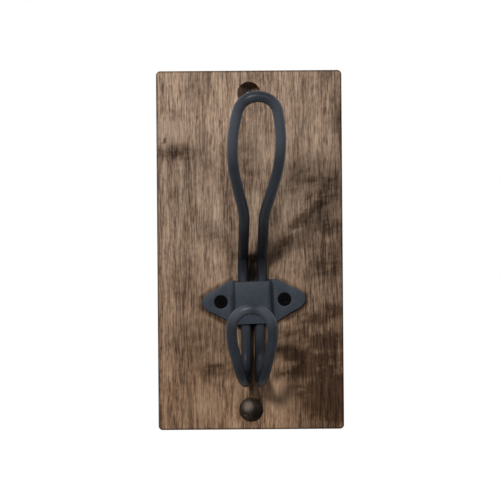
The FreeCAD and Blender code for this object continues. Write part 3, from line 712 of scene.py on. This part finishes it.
class HOOKBOARD_OT_saddle_bracket(bpy.types.Operator):
    """Powder-coated saddle bracket with rounded cut edges"""
    bl_idname = "hookboard.saddle_bracket"
    bl_label = "Saddle bracket"

    def execute(self, context):
        sizes, colours = context.scene.hookboard_sizes, context.scene.hookboard_colours
        bracket = copy_of_node("saddle_bracket", "saddle_bracket_coated")
        soften_edges(bracket, sizes.coat_round)
        bpy.ops.object.shade_smooth_by_angle(angle=SMOOTH)
        # Painted shade in the stamping's bends.
        painted_light_and_shade = ((colours.coat_shade, BEND_PAINTED_SHADE),)
        coat = powder_coat("satin powder coat, bracket", sizes, colours.coat_stamping_lit, painted_light_and_shade)
        finish_piece(bracket, coat, "board")
        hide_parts("saddle_bracket")
        return {"FINISHED"}


class HOOKBOARD_OT_bracket_screws(bpy.types.Operator):
    """The two black screws of the bracket"""
    bl_idname = "hookboard.bracket_screws"
    bl_label = "Bracket screws"

    def execute(self, context):
        finish = black_oxide("black oxide", context.scene.hookboard_colours.screw)
        for side in ("left", "right"):
            screw = copy_of_node("bracket_screw_" + side, "bracket_screw_%s_black" % side)
            bpy.ops.object.shade_smooth_by_angle(angle=SHARP)
            finish_piece(screw, finish, "board")
            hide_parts("bracket_screw_" + side)
        return {"FINISHED"}


class HOOKBOARD_OT_button_plug(bpy.types.Operator):
    """Domed plug over the lower wall screw"""
    bl_idname = "hookboard.button_plug"
    bl_label = "Button plug"

    def execute(self, context):
        sizes, colours = context.scene.hookboard_sizes, context.scene.hookboard_colours
        plug = copy_of_node("button_plug", "button_plug_stained")
        bpy.ops.object.shade_smooth_by_angle(angle=SHARP)
        tones = (colours.plug_dark, colours.plug, colours.plug, colours.plug, colours.plug_light_and_highlight)
        wood = stained_birch("stained plug", sizes, tones, plug_painted_light(colours), PLUG_GLOSS)
        finish_piece(plug, wood, "plug")
        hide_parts("button_plug")
        return {"FINISHED"}


# ---------------------------------------------------------------- stage

# Floor: size, drop below the board, and where its white sweep begins and is full, in metres.
FLOOR_SIZE, FLOOR_DROP = 8.0, 0.10
SWEEP_START, SWEEP_END = 0.15, 0.42
# Camera: distance from the board's face in metres, sensor and lens in millimetres, roll.
CAMERA_DISTANCE = 0.950
SENSOR, LENS = 36.0, 142.8
CAMERA_ROLL = math.radians(0.45)

# Soft boxes: name, direction from the board, distance and width in metres, and the share of a
# white surface's full brightness that it gives to the board's front or back. The world gives the
# rest to the front.
SOFT_BOXES = [
    ("key_left", (-0.34, -1.0, 0.44), 1.0, 0.16, 0.72),
    ("fill_right", (0.43, -1.0, 0.32), 1.2, 0.22, 0.15),
    ("rim_left", (-1.0, 0.75, 0.36), 1.3, 0.50, 0.42),
    ("rim_right", (1.0, 0.75, 0.36), 1.3, 0.50, 0.34),
]
WORLD_SHARE = 0.11


class HOOKBOARD_OT_stage(bpy.types.Operator):
    """Pale floor, soft boxes, world and camera"""
    bl_idname = "hookboard.stage"
    bl_label = "Stage"

    def execute(self, context):
        scene = context.scene
        colours = scene.hookboard_colours
        bpy.ops.mesh.primitive_plane_add(
            size=FLOOR_SIZE, location=(0.0, 0.0, BOARD_LOW.z - FLOOR_DROP))
        floor = context.object
        floor.name = "studio_floor"
        bpy.ops.object.transform_apply(location=True, rotation=True, scale=True)
        floor.data.materials.append(
            studio_floor("matt floor paint", colours.backdrop, colours.bounce))

        target = Vector((0.0, BOARD_LOW.y, 0.0))
        for name, direction, distance, width, share in SOFT_BOXES:
            away = Vector(direction).normalized()
            bpy.ops.object.light_add(type="AREA", location=target + away * distance)
            box = context.object
            box.name = name
            box.data.shape = "SQUARE"
            box.data.size = width
            box.data.energy = share * (math.pi * distance) ** 2 / abs(away.y)
            box.rotation_euler = (-away).to_track_quat("-Z", "Y").to_euler()
            box.visible_glossy = away.y < 0

        world = bpy.data.worlds.new("studio")
        scene.world = world
        world.use_nodes = True
        world.node_tree.nodes.clear()
        soft = add_node(world, "ShaderNodeBackground", {"Color": WHITE, "Strength": WORLD_SHARE})
        white = add_node(world, "ShaderNodeBackground", {"Color": WHITE, "Strength": 1.0})
        both = add_node(world, "ShaderNodeMixShader", {
            0: seen_directly(world), 1: soft.outputs["Background"], 2: white.outputs["Background"]})
        add_node(world, "ShaderNodeOutputWorld", {"Surface": both.outputs["Shader"]})

        front = Vector((0.0, BOARD_LOW.y - CAMERA_DISTANCE, 0.0))
        bpy.ops.object.camera_add(location=front, rotation=(math.pi / 2, CAMERA_ROLL, 0.0))
        camera = context.object
        camera.name = "camera"
        camera.data.sensor_width = SENSOR
        camera.data.lens = LENS
        scene.camera = camera
        scene.view_settings.view_transform = "Standard"
        return {"FINISHED"}


# ---------------------------------------------------------------- add-on

class HOOKBOARD_PT_panel(bpy.types.Panel):
    """Lists the pieces and their settings"""
    bl_idname = "HOOKBOARD_PT_panel"
    bl_label = "Hook Board"
    bl_space_type = "VIEW_3D"
    bl_region_type = "UI"
    bl_category = "Hook Board"

    def draw(self, context):
        for operator in OPERATORS:
            self.layout.operator(operator.bl_idname)
        for group in (context.scene.hookboard_sizes, context.scene.hookboard_colours):
            for name in group.__annotations__:
                self.layout.prop(group, name)


OPERATORS = (
    HOOKBOARD_OT_backboard, HOOKBOARD_OT_wire_hook, HOOKBOARD_OT_saddle_bracket,
    HOOKBOARD_OT_bracket_screws, HOOKBOARD_OT_button_plug, HOOKBOARD_OT_stage,
)
CLASSES = (HookBoardSizes, HookBoardColours) + OPERATORS + (HOOKBOARD_PT_panel,)


def register():
    for one in CLASSES:
        bpy.utils.register_class(one)
    bpy.types.Scene.hookboard_sizes = bpy.props.PointerProperty(type=HookBoardSizes)
    bpy.types.Scene.hookboard_colours = bpy.props.PointerProperty(type=HookBoardColours)


def unregister():
    del bpy.types.Scene.hookboard_colours
    del bpy.types.Scene.hookboard_sizes
    for one in reversed(CLASSES):
        bpy.utils.unregister_class(one)


def main():
    register()
    bpy.ops.hookboard.stage()
    bpy.ops.hookboard.backboard()
    bpy.ops.hookboard.wire_hook()
    bpy.ops.hookboard.saddle_bracket()
    bpy.ops.hookboard.bracket_screws()
    bpy.ops.hookboard.button_plug()


if __name__ == "__main__":
    main()
